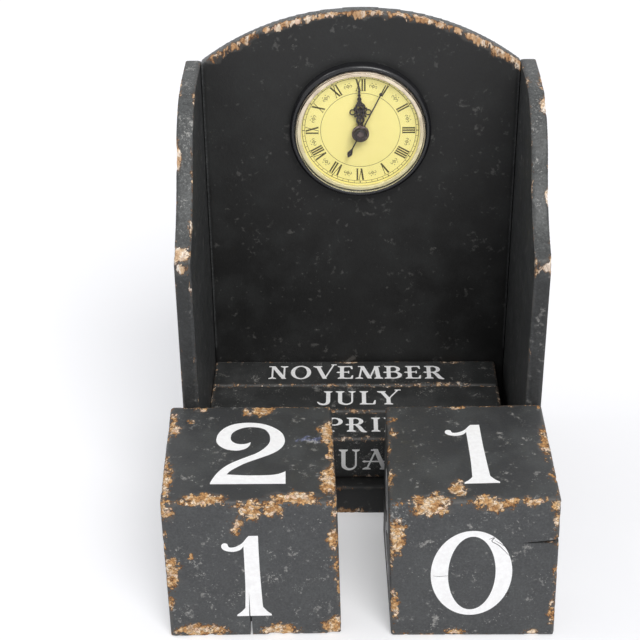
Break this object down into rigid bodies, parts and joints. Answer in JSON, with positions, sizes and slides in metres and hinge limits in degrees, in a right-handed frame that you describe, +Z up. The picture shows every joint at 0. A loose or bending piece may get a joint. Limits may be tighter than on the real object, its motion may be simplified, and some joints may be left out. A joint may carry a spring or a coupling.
{
  "type": "desk clock with perpetual calendar",
  "caption": "Painted wooden desk case with an arched back, a round quartz clock, square month bars and numbered date cubes.",
  "frame": {"origin": "centre of the case's footprint, on the surface that it stands on", "axes": "+X to the viewer's right, +Y to the rear, +Z up"},
  "size_m": [0.1645, 0.1723, 0.2203],
  "materials": {
    "case_paint": "black paint rubbed through on the edges",
    "bar_paint": "black paint with white lettering",
    "cube_paint": "black paint worn to bare wood on the edges",
    "pin_steel": "painted over",
    "black_gloss_plastic": "gloss",
    "clear_lens": "clear",
    "champagne_ring": "satin",
    "gold_dial": "satin, printed",
    "black_plastic": "moulded",
    "black_rubber": "matte",
    "dark_hands": "satin",
    "white_plastic": "moulded",
    "natural_plastic": "moulded",
    "steel": "bright",
    "brass": "bright",
    "magnet": "plain",
    "iron": "plain",
    "green_plastic": "moulded",
    "copper_wire": "enamelled copper",
    "circuit_green": "board with solder mask",
    "red_plastic": "moulded"
  },
  "bodies": {
    "case": {"back_board": "case_paint", "left_side_board": "case_paint", "right_side_board": "case_paint", "base_board": "case_paint", "panel_pins": "pin_steel"},
    "front_bar": {"month_bar_front": "bar_paint"},
    "middle_bar": {"month_bar_middle": "bar_paint"},
    "rear_bar": {"month_bar_rear": "bar_paint"},
    "left_cube": {"date_cube_left": "cube_paint"},
    "right_cube": {"date_cube_right": "cube_paint"},
    "clock": {"clock_bezel": "black_gloss_plastic", "clock_lens": "clear_lens", "dial_ring": "champagne_ring", "dial_plate": "gold_dial", "clock_cup": "black_plastic", "grip_band": "black_rubber", "movement_front_plate": "white_plastic", "movement_middle_plate": "white_plastic", "movement_back_cover": "white_plastic", "movement_screws": "steel", "motor_stator": "iron", "coil_bobbin": "green_plastic", "coil_winding": "copper_wire", "circuit_board": "circuit_green", "control_chip": "black_plastic", "quartz_crystal": "steel", "button_cell": "steel", "cell_contact_negative": "brass", "cell_contact_positive": "brass"},
    "hatch": {"battery_hatch": "white_plastic"},
    "minute_work": {"minute_pipe": "brass", "minute_hand": "dark_hands"},
    "hour_work": {"hour_wheel": "natural_plastic", "hour_hand": "dark_hands"},
    "setting_work": {"minute_wheel": "natural_plastic", "setting_knob": "red_plastic"},
    "second_work": {"second_wheel": "natural_plastic", "second_hand": "dark_hands"},
    "third_work": {"third_wheel": "natural_plastic"},
    "centre_work": {"centre_wheel": "brass"},
    "fifth_work": {"fifth_wheel": "natural_plastic"},
    "rotor": {"motor_rotor": "magnet"}
  },
  "joints": [
    {"name": "front_bar_lift", "type": "slide", "parent": "case", "child": "front_bar", "axis": [0, 0, 1], "range_m": [0, 0.09]},
    {"name": "middle_bar_lift", "type": "slide", "parent": "case", "child": "middle_bar", "axis": [0, 0, 1], "range_m": [0, 0.09]},
    {"name": "rear_bar_lift", "type": "slide", "parent": "case", "child": "rear_bar", "axis": [0, 0, 1], "range_m": [0, 0.09]},
    {"name": "left_cube_lift", "type": "slide", "parent": "case", "child": "left_cube", "axis": [0, 0, 1], "range_m": [0, 0.1]},
    {"name": "right_cube_lift", "type": "slide", "parent": "case", "child": "right_cube", "axis": [0, 0, 1], "range_m": [0, 0.1]},
    {"name": "clock_pull", "type": "slide", "parent": "case", "child": "clock", "axis": [0, -1, 0], "range_m": [0, 0.02]},
    {"name": "hatch_lift", "type": "slide", "parent": "clock", "child": "hatch", "axis": [0, 1, 0], "range_m": [0, 0.01]},
    {"name": "minute_hand_turn", "type": "hinge", "parent": "clock", "child": "minute_work", "pos_m": [0, 0.0375, 0.1644], "axis": [0, 1, 0], "continuous": true},
    {"name": "hour_hand_turn", "type": "hinge", "parent": "clock", "child": "hour_work", "pos_m": [0, 0.0375, 0.1644], "axis": [0, 1, 0], "continuous": true},
    {"name": "setting_knob_turn", "type": "hinge", "parent": "clock", "child": "setting_work", "pos_m": [0.00768, 0.0375, 0.1644], "axis": [0, 1, 0], "continuous": true},
    {"name": "second_hand_turn", "type": "hinge", "parent": "clock", "child": "second_work", "pos_m": [0, 0.0375, 0.1644], "axis": [0, 1, 0], "continuous": true},
    {"name": "third_wheel_turn", "type": "hinge", "parent": "clock", "child": "third_work", "pos_m": [-0.00589, 0.0375, 0.161], "axis": [0, 1, 0], "continuous": true},
    {"name": "centre_wheel_turn", "type": "hinge", "parent": "clock", "child": "centre_work", "pos_m": [0, 0.0375, 0.1644], "axis": [0, 1, 0], "continuous": true},
    {"name": "fifth_wheel_turn", "type": "hinge", "parent": "clock", "child": "fifth_work", "pos_m": [0, 0.0375, 0.1714], "axis": [0, 1, 0], "continuous": true},
    {"name": "rotor_turn", "type": "hinge", "parent": "clock", "child": "rotor", "pos_m": [-0.00368, 0.0375, 0.17449], "axis": [0, 1, 0], "continuous": true}
  ],
  "couplings": [
    {"joint": "hour_hand_turn", "follows": "minute_hand_turn", "ratio": 0.083333},
    {"joint": "setting_knob_turn", "follows": "minute_hand_turn", "ratio": -0.33333},
    {"joint": "third_wheel_turn", "follows": "second_hand_turn", "ratio": -0.13333},
    {"joint": "centre_wheel_turn", "follows": "second_hand_turn", "ratio": 0.016667},
    {"joint": "fifth_wheel_turn", "follows": "second_hand_turn", "ratio": -6},
    {"joint": "rotor_turn", "follows": "second_hand_turn", "ratio": 30}
  ]
}
